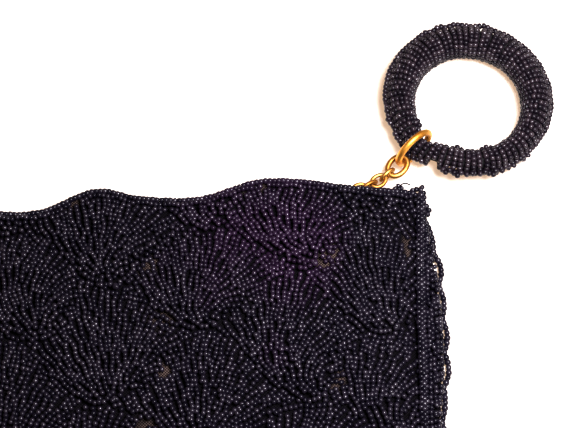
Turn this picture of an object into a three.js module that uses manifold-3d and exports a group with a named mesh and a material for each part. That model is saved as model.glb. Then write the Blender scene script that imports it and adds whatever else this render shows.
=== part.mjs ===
// A beaded evening clutch lying on its back with its zip closed. Two beaded cloth
// panels are joined by beaded trims along the sides and the bottom, and a beaded
// finger ring hangs from the zip on a short gold chain and lies above the mouth.
// Millimetres, +Z up. X runs along the bag's width and Y from its bottom to its
// scalloped mouth. The origin is under the middle of the back panel.

import * as THREE from 'three';
import { mergeVertices } from 'three/addons/utils/BufferGeometryUtils.js';
import Module from 'manifold-3d';

// Cloth and strands
const GAP = 0.3; // between pieces that touch
const WALL = 2.7; // backing cloth with its layer of seed beads
const STRAND = 2.1; // one string of seed beads
const EDGING = 2.2; // the strand sewn along each panel's mouth
const CORD = 3.6; // the rope of beads over the front panel's edge
const TUBE_SIDES = 8;
const CORD_TOP = 71; // the cord ends just under the mouth's corners
const EDGING_REACH = { front: 111, back: 113 };

// Outer edge of the mouth, trim included: corners, scallops and the dips between
const MOUTH = [
  { x: -116, y: 72.6 },
  { x: -93, y: 73.2 },
  { x: -66, y: 78.6 },
  { x: -42, y: 72.6 },
  { x: -24, y: 71.4 },
  { x: -3, y: 78.8 },
  { x: 12, y: 75 },
  { x: 34, y: 73.4 },
  { x: 54, y: 78.9 },
  { x: 68, y: 78.6 },
  { x: 91, y: 74.4 },
  { x: 116, y: 73.5 },
];

// Half widths of the two panels, from the bottom to the mouth
const SIDES = [
  { y: -76, front: 103.4, back: 110.6 },
  { y: -45, front: 104.2, back: 111.2 },
  { y: -16, front: 105.3, back: 112.6 },
  { y: 5, front: 106.7, back: 115.4 },
  { y: 20, front: 107.5, back: 116.4 },
  { y: 37, front: 108.8, back: 116.5 },
  { y: 50, front: 109.9, back: 115.8 },
  { y: 61, front: 111, back: 114.3 },
  { y: 72, front: 112, back: 114.2 },
];
const BOTTOM = { front: -68, back: -76 };
const CORNER = { front: 14, back: 18 }; // radius of the bottom corners

// Height of the front panel's beads along the middle of the bag
const CROWN = [
  { y: -68, z: 12.5 },
  { y: -40, z: 14.6 },
  { y: 0, z: 14.8 },
  { y: 35, z: 13.6 },
  { y: 62, z: 11.8 },
  { y: 80, z: 11.2 },
];
const SIDE_REACH = 26; // how far in from the side seam the front panel keeps rising
const BOTTOM_REACH = 30;

// The beadwork draws the cloth into low mounds, one under each fan of beads
const FAN_WIDTH = 66;
const FAN_DROP = 40;
const MOUND = 0.7;
const MOUND_FADE = 14; // the mounds die out over this distance below the mouth

// Loops of the loose strand round the back panel
const PICOT_PITCH = 13;
const PICOT_BULGES = [0.9, 1.7, 0.6, 1.3, 1.0, 1.5, 0.5];
const PICOT_TOP = 63;

// The braid fills the border between the cord and the back panel's edge
const BRAID_TOP = 50;
const BRAID_HEIGHT = 2.2;

// Zip, set a little inside the mouth
const ZIP_Y = 61.6;
const TAPE = 1.2;
const TAPE_CLEAR = 0.5; // between the tape's top and the front panel's lining
const TEETH = { out: 1.2, half: 0.8 };
const ZIP_END = 101;
const SLIDER = { x: 91.7, length: 7, thick: 2.7, low: 3.2, high: 6.9 };
const LOOP = { wire: 1, radius: 1.6, z: 5.25, tip: 74.8 };

// Finger ring, lying beside the mouth with one side on the jump ring's wire
const RING = { x: 134.7, y: 108.2, z: 7.52, radius: 25.7, tilt: 1.03 };
const RING_PINCH = 2.1; // the jump ring pulls the ring's middle line out this far
const RING_TUBE = [
  { angle: -139, radius: 4.2 },
  { angle: -118, radius: 4.9 },
  { angle: -75, radius: 5 },
  { angle: -45, radius: 5.4 },
  { angle: -15, radius: 6.4 },
  { angle: 60, radius: 7 },
  { angle: 140, radius: 7 },
  { angle: 184, radius: 6.2 },
  { angle: 201, radius: 5.2 },
  { angle: 221, radius: 4.2 },
];

// Gold wire
const CHAIN_ANGLE = 221; // where the chain meets the finger ring, in degrees
const JUMP = { wire: 2.5, outer: 17.5, reach: 29.1, heading: 218 }; // reach is from the ring's centre
const BIG_LINK = { length: 10.6, width: 8.2, wire: 2.1 };
const SMALL_LINK = { length: 7.4, width: 5.7, wire: 1.55 };
const LINK_SLACK = 0.31;
const FIRST_LINK = { reach: 37.35, z: 5.3 };
const LINKS = [
  { size: BIG_LINK, heading: 225, rise: -7.2, roll: 0 },
  { size: SMALL_LINK, heading: 217, rise: -7.1, roll: 90 },
  { size: SMALL_LINK, heading: 213.6, rise: -1.2, roll: 0 },
  { size: SMALL_LINK, heading: 206, rise: 0.5, roll: 90 },
  { size: SMALL_LINK, heading: 203.6, rise: 8.1, roll: 0 },
];

const jet = new THREE.MeshStandardMaterial({ color: 0x0e0c12, roughness: 0.25, metalness: 0 });
const cloth = new THREE.MeshStandardMaterial({ color: 0x1d1a1a, roughness: 0.9, metalness: 0 });
const gold = new THREE.MeshStandardMaterial({ color: 0xc8922c, roughness: 0.3, metalness: 1 });

const bag = new THREE.Group();

function addMesh(name, geometry, material) {
  const mesh = new THREE.Mesh(geometry, material);
  mesh.name = name;
  bag.add(mesh);
  return mesh;
}

// A smooth curve through a table's rows, read at any place across it
function through(rows, across, value) {
  const last = rows.length - 1;
  const slope = (k) => {
    const before = rows[Math.max(k - 1, 0)];
    const after = rows[Math.min(k + 1, last)];
    return (after[value] - before[value]) / (after[across] - before[across]);
  };
  return (at) => {
    const place = THREE.MathUtils.clamp(at, rows[0][across], rows[last][across]);
    let k = 0;
    while (k < last - 1 && place > rows[k + 1][across]) k += 1;
    const span = rows[k + 1][across] - rows[k][across];
    const u = (place - rows[k][across]) / span;
    const blend = u * u * (3 - 2 * u);
    const bend = slope(k) * u * (1 - u) ** 2 - slope(k + 1) * u * u * (1 - u);
    return THREE.MathUtils.lerp(rows[k][value], rows[k + 1][value], blend) + bend * span;
  };
}

const mouthAt = through(MOUTH, 'x', 'y');
const crownAt = through(CROWN, 'y', 'z');
const halfWidth = {
  front: through(SIDES, 'y', 'front'),
  back: through(SIDES, 'y', 'back'),
};
const panelTop = (x) => mouthAt(x) - EDGING - GAP;

// Faces through a grid of points, turned to point out of the solid
function solidFrom(points, triangles) {
  const at = (k) => points[k];
  const cross = new THREE.Vector3();
  let volume = 0;
  for (const [a, b, c] of triangles) volume += at(a).dot(cross.crossVectors(at(b), at(c)));
  const faces = volume < 0 ? triangles.map(([a, b, c]) => [a, c, b]) : triangles;
  const geometry = new THREE.BufferGeometry().setFromPoints(points);
  geometry.setIndex(faces.flat());
  geometry.computeVertexNormals();
  return geometry;
}

// Two triangles between neighbouring points of two rows
function quad(a, b, c, d) {
  return [
    [a, b, c],
    [a, c, d],
  ];
}

// A skin over a row of equal outlines; it closes on itself or ends in two flat caps
function loft(outlines, closed) {
  const count = outlines[0].length;
  const points = outlines.flat();
  const triangles = [];
  const turns = closed ? outlines.length : outlines.length - 1;
  for (let i = 0; i < turns; i += 1) {
    const next = (i + 1) % outlines.length;
    for (let j = 0; j < count; j += 1) {
      const k = (j + 1) % count;
      triangles.push(...quad(i * count + j, i * count + k, next * count + k, next * count + j));
    }
  }
  if (!closed) {
    const across = outlines[0][1].clone().sub(outlines[0][0]).normalize();
    const flat = outlines[0].map((p) => new THREE.Vector2(p.dot(across), p.z));
    const turn = THREE.ShapeUtils.area(flat);
    const end = (outlines.length - 1) * count;
    for (const [a, b, c] of THREE.ShapeUtils.triangulateShape(flat, [])) {
      const along = THREE.ShapeUtils.area([flat[a], flat[b], flat[c]]) * turn > 0;
      const [p, q] = along ? [c, b] : [b, c];
      triangles.push([a, p, q], [end + a, end + q, end + p]);
    }
  }
  return solidFrom(points, triangles);
}

function roundSection(diameter) {
  const corners = [];
  for (let k = 0; k < TUBE_SIDES; k += 1) {
    const angle = (2 * Math.PI * k) / TUBE_SIDES;
    corners.push(new THREE.Vector2(Math.cos(angle), Math.sin(angle)).multiplyScalar(diameter / 2));
  }
  return new THREE.Shape(corners);
}

function tube(points, diameter, steps) {
  const extrudePath = new THREE.CatmullRomCurve3(points);
  return new THREE.ExtrudeGeometry(roundSection(diameter), { steps, extrudePath, curveSegments: 1 });
}

// A wire ring along a closed curve, with its radius given round the curve
function wireRing(curve, radiusAt, steps, sides) {
  const frames = curve.computeFrenetFrames(steps, true);
  const outlines = [];
  for (let i = 0; i < steps; i += 1) {
    const middle = curve.getPointAt(i / steps);
    const outline = [];
    for (let j = 0; j < sides; j += 1) {
      const angle = (2 * Math.PI * j) / sides;
      const spoke = frames.normals[i].clone().multiplyScalar(Math.cos(angle));
      spoke.addScaledVector(frames.binormals[i], Math.sin(angle));
      outline.push(middle.clone().addScaledVector(spoke, radiusAt(i / steps)));
    }
    outlines.push(outline);
  }
  return loft(outlines, true);
}

// Points along a panel's edge from the right of the mouth, round the bottom, to the left
function seamPath(side, offset, top, counts) {
  const radius = CORNER[side];
  const cornerY = BOTTOM[side] + radius;
  const cornerX = halfWidth[side](cornerY) - radius;
  const right = [];
  for (let k = 0; k < counts.side; k += 1) {
    const y = THREE.MathUtils.lerp(top, cornerY, k / counts.side);
    right.push(new THREE.Vector2(halfWidth[side](y) + offset, y));
  }
  for (let k = 0; k <= counts.corner; k += 1) {
    const angle = (-Math.PI / 2) * (k / counts.corner);
    const x = cornerX + (radius + offset) * Math.cos(angle);
    right.push(new THREE.Vector2(x, cornerY + (radius + offset) * Math.sin(angle)));
  }
  const bottom = [];
  for (let k = 1; k < counts.bottom; k += 1) {
    const x = THREE.MathUtils.lerp(cornerX, -cornerX, k / counts.bottom);
    bottom.push(new THREE.Vector2(x, BOTTOM[side] - offset));
  }
  const left = right.map((p) => new THREE.Vector2(-p.x, p.y)).reverse();
  return [...right, ...bottom, ...left];
}

// The front panel's upper surface
const seamHeight = WALL + GAP + WALL;

function panelBottom(across) {
  const radius = CORNER.front;
  const width = halfWidth.front(BOTTOM.front + radius);
  const past = Math.max(0, Math.abs(across) * width - (width - radius));
  return BOTTOM.front + radius - Math.sqrt(Math.max(0, radius ** 2 - past ** 2));
}

function swell(distance, reach) {
  const q = THREE.MathUtils.clamp(distance / reach, 0, 1);
  return 1 - (1 - q) ** 2;
}

function frontHeight(x, y) {
  const width = halfWidth.front(y);
  const across = THREE.MathUtils.clamp(x / width, -1, 1);
  const fromSide = width * (1 - Math.abs(across));
  const rise = swell(fromSide, SIDE_REACH) * swell(y - panelBottom(across), BOTTOM_REACH);
  const belowMouth = THREE.MathUtils.smoothstep(panelTop(x) - y, 0, MOUND_FADE);
  const mounds = Math.cos((2 * Math.PI * x) / FAN_WIDTH) * Math.cos((2 * Math.PI * y) / FAN_DROP);
  const crown = crownAt(y) + MOUND * mounds * belowMouth;
  return seamHeight + (crown - seamHeight) * rise;
}

const lining = (x, y) => frontHeight(x, y) - WALL;

// Places across the front panel: even in the middle, following the round bottom corners
function frontColumns() {
  const middle = 28;
  const corner = 5;
  const width = halfWidth.front(BOTTOM.front + CORNER.front);
  const inner = (width - CORNER.front) / width;
  const right = [];
  for (let k = 1; k <= corner; k += 1) {
    right.push(inner + (1 - inner) * Math.sin((Math.PI / 2) * (k / corner)));
  }
  const columns = right.map((s) => -s).reverse();
  for (let k = 0; k <= middle; k += 1) columns.push(inner * ((2 * k) / middle - 1));
  return [...columns, ...right];
}

function frontPanel() {
  const rows = 16;
  const columns = frontColumns();
  const outer = [];
  for (let j = 0; j <= rows; j += 1) {
    const up = 0.5 - 0.5 * Math.cos((Math.PI * j) / rows);
    for (const across of columns) {
      const top = panelTop(across * halfWidth.front(MOUTH[0].y));
      const y = THREE.MathUtils.lerp(panelBottom(across), top, up);
      const x = across * halfWidth.front(y);
      outer.push(new THREE.Vector3(x, y, frontHeight(x, y)));
    }
  }
  const inner = outer.map((p) => new THREE.Vector3(p.x, p.y, p.z - WALL));
  const wide = columns.length;
  const under = outer.length;
  const triangles = [];
  for (let j = 0; j < rows; j += 1) {
    for (let i = 0; i < wide - 1; i += 1) {
      const a = j * wide + i;
      triangles.push(...quad(a, a + 1, a + wide + 1, a + wide));
      triangles.push(...quad(under + a, under + a + wide, under + a + wide + 1, under + a + 1));
    }
  }
  const rim = [];
  for (let i = 0; i < wide - 1; i += 1) rim.push(i);
  for (let j = 0; j < rows; j += 1) rim.push(j * wide + wide - 1);
  for (let i = wide - 1; i > 0; i -= 1) rim.push(rows * wide + i);
  for (let j = rows; j > 0; j -= 1) rim.push(j * wide);
  rim.forEach((a, k) => {
    const b = rim[(k + 1) % rim.length];
    triangles.push(...quad(a, under + a, under + b, b));
  });
  return solidFrom([...outer, ...inner], triangles);
}

function backPanel() {
  const steps = 36;
  const outline = [];
  const cornerTop = panelTop(MOUTH[0].x);
  for (const p of seamPath('back', 0, cornerTop, { side: 14, corner: 6, bottom: 4 })) outline.push(p);
  const reach = halfWidth.back(cornerTop);
  for (let k = 1; k < steps; k += 1) {
    const x = reach * ((2 * k) / steps - 1);
    outline.push(new THREE.Vector2(x, panelTop(x)));
  }
  return new THREE.ExtrudeGeometry(new THREE.Shape(outline), { depth: WALL, bevelEnabled: false });
}

function edgeCord() {
  const path = seamPath('front', GAP + CORD / 2, CORD_TOP, { side: 16, corner: 4, bottom: 16 });
  const z = WALL + GAP + CORD / 2;
  const points = path.map((p) => new THREE.Vector3(p.x, p.y, z));
  return tube(points, CORD, 76);
}

function seamBraid() {
  const counts = { side: 14, corner: 5, bottom: 14 };
  const inside = seamPath('front', CORD + 2 * GAP, BRAID_TOP, counts);
  const outside = seamPath('back', -GAP, BRAID_TOP, counts);
  const low = WALL + GAP;
  const outlines = inside.map((p, k) => {
    const q = outside[k];
    const at = (share, height) => {
      const place = p.clone().lerp(q, share);
      return new THREE.Vector3(place.x, place.y, low + height * BRAID_HEIGHT);
    };
    return [at(0, 0), at(1, 0), at(1, 0.45), at(0.65, 1), at(0.2, 1), at(0, 0.6)];
  });
  return loft(outlines, false);
}

function picotEdge() {
  const counts = { side: 40, corner: 8, bottom: 60 };
  const edge = seamPath('back', GAP + STRAND / 2, PICOT_TOP, counts);
  const line = new THREE.SplineCurve(edge);
  const loops = Math.round(line.getLength() / PICOT_PITCH);
  const stepsPerLoop = 3;
  const points = [];
  for (let k = 0; k <= loops * stepsPerLoop; k += 1) {
    const along = k / (loops * stepsPerLoop);
    const place = line.getPointAt(along);
    const tangent = line.getTangentAt(along);
    const bulge = PICOT_BULGES[Math.floor(k / stepsPerLoop) % PICOT_BULGES.length];
    const out = bulge * Math.abs(Math.sin((Math.PI * k) / stepsPerLoop));
    const x = place.x - tangent.y * out;
    points.push(new THREE.Vector3(x, place.y + tangent.x * out, STRAND / 2 + GAP));
  }
  return tube(points, STRAND, loops * stepsPerLoop);
}

function topEdging(reach, heightAt) {
  const steps = 40;
  const points = [];
  for (let k = 0; k <= steps; k += 1) {
    const x = reach * ((2 * k) / steps - 1);
    points.push(new THREE.Vector3(x, mouthAt(x) - EDGING / 2, heightAt(x)));
  }
  return tube(points, EDGING, steps);
}

function zipTape() {
  const steps = 16;
  const low = WALL + GAP;
  const face = ZIP_Y + TAPE;
  const outlines = [];
  for (let k = 0; k <= steps; k += 1) {
    const x = ZIP_END * ((2 * k) / steps - 1);
    const high = lining(x, face + TEETH.out) - TAPE_CLEAR;
    const middle = (low + high) / 2;
    const section = [
      [ZIP_Y, low],
      [face, low],
      [face, middle - TEETH.half],
      [face + TEETH.out, middle - TEETH.half],
      [face + TEETH.out, middle + TEETH.half],
      [face, middle + TEETH.half],
      [face, high],
      [ZIP_Y, high],
    ];
    outlines.push(section.map(([y, z]) => new THREE.Vector3(x, y, z)));
  }
  return loft(outlines, false);
}

const wasm = await Module();
wasm.setup();

function toSolid(geometry) {
  const plain = geometry.clone();
  plain.deleteAttribute('normal');
  plain.deleteAttribute('uv');
  const merged = mergeVertices(plain);
  const vertProperties = new Float32Array(merged.attributes.position.array);
  const triVerts = new Uint32Array(merged.index.array);
  return new wasm.Manifold(new wasm.Mesh({ numProp: 3, vertProperties, triVerts }));
}

function toGeometry(solid) {
  const mesh = solid.getMesh();
  const geometry = new THREE.BufferGeometry();
  geometry.setAttribute('position', new THREE.BufferAttribute(mesh.vertProperties, 3));
  geometry.setIndex(new THREE.BufferAttribute(mesh.triVerts, 1));
  geometry.computeVertexNormals();
  return geometry;
}

// The slider's body with a long wire loop standing out of it for the chain
function zipSlider() {
  const height = SLIDER.high - SLIDER.low;
  const body = new THREE.BoxGeometry(SLIDER.length, SLIDER.thick, height);
  const face = ZIP_Y + TAPE + TEETH.out + GAP;
  body.translate(SLIDER.x, face + SLIDER.thick / 2, SLIDER.low + height / 2);
  const bend = LOOP.tip - LOOP.radius;
  const start = face + SLIDER.thick / 2;
  const arc = [-90, -60, -30, 0, 30, 60, 90].map((degrees) => {
    const angle = THREE.MathUtils.degToRad(degrees);
    const y = bend + LOOP.radius * Math.cos(angle);
    return new THREE.Vector3(SLIDER.x, y, LOOP.z + LOOP.radius * Math.sin(angle));
  });
  const points = [
    new THREE.Vector3(SLIDER.x, start, LOOP.z - LOOP.radius),
    ...arc,
    new THREE.Vector3(SLIDER.x, start, LOOP.z + LOOP.radius),
  ];
  return toGeometry(toSolid(body).add(toSolid(tube(points, LOOP.wire, 20))));
}

function linkGeometry(size) {
  const long = (size.length - size.wire) / 2;
  const wide = (size.width - size.wire) / 2;
  class Oval extends THREE.Curve {
    getPoint(t) {
      const angle = 2 * Math.PI * t;
      return new THREE.Vector3(long * Math.cos(angle), wide * Math.sin(angle), 0);
    }
  }
  return wireRing(new Oval(), () => size.wire / 2, 16, 6);
}

function fingerRing() {
  const tubeAt = through(RING_TUBE, 'angle', 'radius');
  const first = RING_TUBE[0].angle;
  const plain = Math.max(...RING_TUBE.map((row) => row.radius));
  class Circle extends THREE.Curve {
    getPoint(t) {
      const degrees = first + 360 * t;
      const angle = THREE.MathUtils.degToRad(degrees);
      const near = THREE.MathUtils.clamp(1 - (Math.min(t, 1 - t) * 360) / 20, 0, 1);
      const radius = RING.radius + RING_PINCH * near * near * (3 - 2 * near);
      return new THREE.Vector3(radius * Math.cos(angle), radius * Math.sin(angle), 0);
    }
  }
  return wireRing(new Circle(), (t) => Math.min(tubeAt(first + 360 * t), plain), 48, 12);
}

addMesh('front_panel', frontPanel(), jet);
addMesh('back_panel', backPanel(), jet);
addMesh('edge_cord', edgeCord(), jet);
addMesh('seam_braid', seamBraid(), jet);
addMesh('picot_edge', picotEdge(), jet);
const frontEdgeHeight = (x) => frontHeight(x, panelTop(x)) - WALL / 2;
addMesh('front_top_edging', topEdging(EDGING_REACH.front, frontEdgeHeight), jet);
addMesh('back_top_edging', topEdging(EDGING_REACH.back, () => WALL / 2), jet);
addMesh('zip_tape', zipTape(), cloth);
addMesh('zip_slider', zipSlider(), gold);

const chainAngle = THREE.MathUtils.degToRad(CHAIN_ANGLE);
const chainWay = new THREE.Vector3(Math.cos(chainAngle), Math.sin(chainAngle), 0);

const finger = addMesh('finger_ring', fingerRing(), jet);
finger.position.set(RING.x, RING.y, RING.z);
const tiltAxis = new THREE.Vector3(0, 0, 1).cross(chainWay).negate();
finger.setRotationFromAxisAngle(tiltAxis, THREE.MathUtils.degToRad(RING.tilt));

const jumpRadius = (JUMP.outer - JUMP.wire) / 2;
const jump = addMesh('jump_ring', new THREE.TorusGeometry(jumpRadius, JUMP.wire / 2, 8, 20), gold);
jump.position.set(RING.x, RING.y, 0).addScaledVector(chainWay, JUMP.reach);
jump.position.z = JUMP.outer / 2;
jump.rotation.set(Math.PI / 2, THREE.MathUtils.degToRad(JUMP.heading), 0);

// Each link hangs on the one before it, turned a quarter about the chain
const place = new THREE.Vector3(RING.x, RING.y, FIRST_LINK.z);
place.addScaledVector(chainWay, FIRST_LINK.reach);
LINKS.forEach((row, k) => {
  const heading = THREE.MathUtils.degToRad(row.heading);
  const rise = THREE.MathUtils.degToRad(row.rise);
  const way = new THREE.Vector3(Math.cos(heading), Math.sin(heading), 0);
  way.multiplyScalar(Math.cos(rise));
  way.z = Math.sin(rise);
  if (k > 0) {
    const before = LINKS[k - 1].size;
    const holes = (before.length + row.size.length) / 2 - before.wire - row.size.wire;
    place.addScaledVector(way, holes - LINK_SLACK);
  }
  const link = addMesh(`chain_link_${k + 1}`, linkGeometry(row.size), gold);
  const side = new THREE.Vector3(0, 0, 1).cross(way).normalize();
  const up = way.clone().cross(side);
  link.quaternion.setFromRotationMatrix(new THREE.Matrix4().makeBasis(way, side, up));
  link.rotateX(THREE.MathUtils.degToRad(row.roll));
  link.position.copy(place);
});

export default bag;
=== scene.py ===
import math
from collections import deque

import bpy
import numpy as np
from mathutils import Matrix, Vector


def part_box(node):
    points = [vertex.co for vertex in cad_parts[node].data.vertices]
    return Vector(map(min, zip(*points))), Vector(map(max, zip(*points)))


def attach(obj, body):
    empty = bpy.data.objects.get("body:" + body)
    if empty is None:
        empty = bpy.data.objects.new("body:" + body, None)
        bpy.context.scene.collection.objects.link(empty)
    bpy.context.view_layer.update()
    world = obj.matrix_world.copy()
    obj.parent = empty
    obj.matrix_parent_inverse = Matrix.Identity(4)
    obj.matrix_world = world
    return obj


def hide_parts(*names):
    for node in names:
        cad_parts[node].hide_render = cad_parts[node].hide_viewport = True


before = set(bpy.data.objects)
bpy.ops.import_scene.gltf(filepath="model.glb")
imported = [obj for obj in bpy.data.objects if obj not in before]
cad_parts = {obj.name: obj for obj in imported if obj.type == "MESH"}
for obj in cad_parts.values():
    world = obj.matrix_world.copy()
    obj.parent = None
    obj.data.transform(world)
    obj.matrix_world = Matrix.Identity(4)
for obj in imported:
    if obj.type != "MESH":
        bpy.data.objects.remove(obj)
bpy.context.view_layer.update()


# Camera
# The clutch is seen from its front, about 65 degrees above the surface that it lies on, turned a
# few degrees, and so near that only the right two thirds of the mouth and the finger ring show.
MM = 0.001
PHOTO_WIDTH = 570
FOCAL_PIXELS = 1800
SENSOR_WIDTH = 36.0
ELEVATION = math.radians(65)
TURN = math.radians(3.4)
LOOK_AT = Vector((64.5, 69.4, 0)) * MM
DISTANCE = 655.2 * MM

camera_data = bpy.data.cameras.new("camera")
camera_data.sensor_width = SENSOR_WIDTH
camera_data.lens = FOCAL_PIXELS / PHOTO_WIDTH * SENSOR_WIDTH
camera = bpy.data.objects.new("camera", camera_data)
bpy.context.collection.objects.link(camera)
camera_right = Vector((math.cos(TURN), -math.sin(TURN), 0))
camera_ahead = Vector((math.sin(TURN), math.cos(TURN), 0))
camera_back = Vector((0, 0, math.sin(ELEVATION))) - camera_ahead * math.cos(ELEVATION)
camera_axes = Matrix((camera_right, camera_back.cross(camera_right), camera_back)).transposed()
camera.matrix_world = Matrix.Translation(LOOK_AT + camera_back * DISTANCE) @ camera_axes.to_4x4()
bpy.context.scene.camera = camera


# Front cloth
# The upper wall of the pouch is black plain-woven cloth that shows in small bare spots between the
# beads. Under the beads it is painted nearly black, as painted shade between them. It is cut with a
# scalloped mouth, and the beadwork draws it into low mounds.
def box_height(node):
    """The height of a solid, in millimetres."""
    low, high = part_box(node)
    return (high[2] - low[2]) / MM


GAP = 0.3
CLOTH = 0.5
WALL = box_height("back_panel")
BEAD_LAYER = WALL - CLOTH
EDGING = 2.2
EDGING_LAP = 0.6  # of the edging's width, how far the cloth goes under it
SEAM_HEIGHT = 2 * WALL + GAP
MOUTH_X = [-116, -93, -66, -42, -24, -3, 12, 34, 54, 68, 91, 116]
MOUTH_Y = [72.6, 73.2, 78.6, 72.6, 71.4, 78.8, 75, 73.4, 78.9, 78.6, 74.4, 73.5]
SIDE_Y = [-76, -45, -16, 5, 20, 37, 50, 61, 72]
SIDE_HALF_WIDTH = {
    "front": [103.4, 104.2, 105.3, 106.7, 107.5, 108.8, 109.9, 111, 112],
    "back": [110.6, 111.2, 112.6, 115.4, 116.4, 116.5, 115.8, 114.3, 114.2],
}
BOTTOM = {"front": -68, "back": -76}
CORNER = {"front": 14, "back": 18}
CROWN_Y = [-68, -40, 0, 35, 62, 80]
CROWN_Z = [12.5, 14.6, 14.8, 13.6, 11.8, 11.2]
SIDE_REACH = 26  # from a side edge in to the full height
BOTTOM_REACH = 30
MOUND_WIDTH = 66
MOUND_DROP = 40
MOUND = 0.7
MOUND_FADE = 14  # below the mouth, where the mounds reach their full height
# light is the cloth's colour where beads lie close, nearly black as painted shade between them; worn is its
# own paler colour where it lies bare.
BLACK_YARN = {
    "dark": (0.001, 0.0008, 0.0009),
    "light": (0.006, 0.0045, 0.0075),
    "worn": (0.12, 0.086, 0.075),
}
YARN_PITCH = 1.0
YARN_RELIEF = 0.00018  # metres


def eased(share):
    """From 0 to 1 with a soft start and a soft end."""
    return share * share * (3 - 2 * share)


def through(places, values):
    """A smooth curve through a short table, read at any places along it."""
    places = np.asarray(places, float)
    values = np.asarray(values, float)
    slopes = np.empty_like(values)
    slopes[1:-1] = (values[2:] - values[:-2]) / (places[2:] - places[:-2])
    slopes[0] = (values[1] - values[0]) / (places[1] - places[0])
    slopes[-1] = (values[-1] - values[-2]) / (places[-1] - places[-2])

    def read(at):
        at = np.clip(at, places[0], places[-1])
        k = np.clip(np.searchsorted(places, at) - 1, 0, len(places) - 2)
        span = places[k + 1] - places[k]
        u = (at - places[k]) / span
        bend = slopes[k] * u * (1 - u) ** 2 - slopes[k + 1] * u * u * (1 - u)
        return values[k] + (values[k + 1] - values[k]) * eased(u) + bend * span

    return read


mouth_at = through(MOUTH_X, MOUTH_Y)
crown_at = through(CROWN_Y, CROWN_Z)
half_width = {side: through(SIDE_Y, widths) for side, widths in SIDE_HALF_WIDTH.items()}


def panel_top(x):
    """Where a panel's beads end below its edging."""
    return mouth_at(x) - EDGING - GAP


def panel_bottom(side, across):
    """Where a panel ends at its bottom, at a share of its half width across it."""
    radius = CORNER[side]
    width = half_width[side](BOTTOM[side] + radius)
    past = np.clip(np.abs(across) * width - (width - radius), 0, radius)
    return BOTTOM[side] + radius - np.sqrt(radius**2 - past**2)


def swell(distance, reach):
    """The rise from an edge to the full height, as a share of it."""
    return 1 - (1 - np.clip(distance / reach, 0, 1)) ** 2


def front_height(x, y):
    """How high the tops of the front panel's beads stand above the surface."""
    width = half_width["front"](y)
    across = np.clip(x / width, -1, 1)
    rise = swell(width * (1 - np.abs(across)), SIDE_REACH)
    rise = rise * swell(y - panel_bottom("front", across), BOTTOM_REACH)
    fade = eased(np.clip((panel_top(x) - y) / MOUND_FADE, 0, 1))
    mounds = np.cos(2 * np.pi * x / MOUND_WIDTH) * np.cos(2 * np.pi * y / MOUND_DROP)
    return SEAM_HEIGHT + (crown_at(y) + MOUND * mounds * fade - SEAM_HEIGHT) * rise


def panel_grid(side, columns=96, rows=60):
    """Places over a panel, row by row from its bottom edge to its mouth, where the edging sits on it."""
    across = np.sin(np.linspace(-np.pi / 2, np.pi / 2, columns))
    across = 0.5 * across + 0.5 * np.linspace(-1, 1, columns)
    up = np.linspace(0, 1, rows)[:, None]
    low = panel_bottom(side, across)
    high = panel_top(across * half_width[side](MOUTH_Y[0])) + EDGING * EDGING_LAP
    y = low + up * (high - low)
    return across * half_width[side](y), y


def make_mesh(name, points, faces):
    """A smooth mesh from corner points in millimetres and lists of corner numbers."""
    mesh = bpy.data.meshes.new(name)
    mesh.from_pydata((np.asarray(points, float) * MM).tolist(), [], faces)
    mesh.polygons.foreach_set("use_smooth", [True] * len(mesh.polygons))
    mesh.update()
    piece = bpy.data.objects.new(name, mesh)
    bpy.context.collection.objects.link(piece)
    return piece


def sheet_solid(name, x, y, low, high):
    """A closed sheet of cloth between two heights over a grid of places."""
    rows, columns = x.shape
    top = np.stack([x, y, high], -1).reshape(-1, 3)
    under = np.stack([x, y, low], -1).reshape(-1, 3)
    count = rows * columns
    corner = (np.arange(rows - 1)[:, None] * columns + np.arange(columns - 1)).ravel()
    faces = np.stack([corner, corner + 1, corner + columns + 1, corner + columns], 1)
    rim = list(range(columns - 1))
    rim += [row * columns + columns - 1 for row in range(rows - 1)]
    rim += [(rows - 1) * columns + column for column in range(columns - 1, 0, -1)]
    rim += [row * columns for row in range(rows - 1, 0, -1)]
    border = [[a + count, b + count, b, a] for a, b in zip(rim, rim[1:] + rim[:1])]
    every = faces.tolist() + (faces[:, ::-1] + count).tolist() + border
    return make_mesh(name, np.vstack([top, under]), every)


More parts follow.
